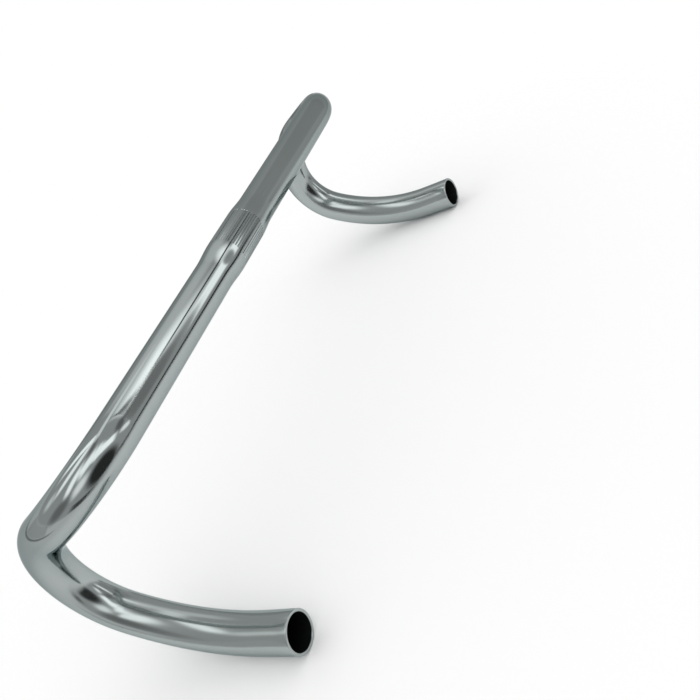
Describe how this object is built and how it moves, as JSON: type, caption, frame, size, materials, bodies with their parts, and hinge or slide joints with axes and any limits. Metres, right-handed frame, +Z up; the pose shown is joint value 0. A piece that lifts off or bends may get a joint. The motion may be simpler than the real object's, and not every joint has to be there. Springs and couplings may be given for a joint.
{
  "type": "road bike drop handlebar",
  "caption": "Polished drop handlebar bent from one aluminium tube, with a bulged and knurled middle for the stem and open ends.",
  "frame": {"origin": "middle of the stem clamp, on the tube's own axis", "axes": "+X along the straight tops to the rider's right, +Y forward, +Z up, with the straight ends of the drops lying level"},
  "size_m": [0.4354, 0.1343, 0.1454],
  "materials": {
    "polished_aluminium": "polished and clear anodised"
  },
  "bodies": {
    "root": {"bar_tube": "polished_aluminium"}
  },
  "joints": []
}
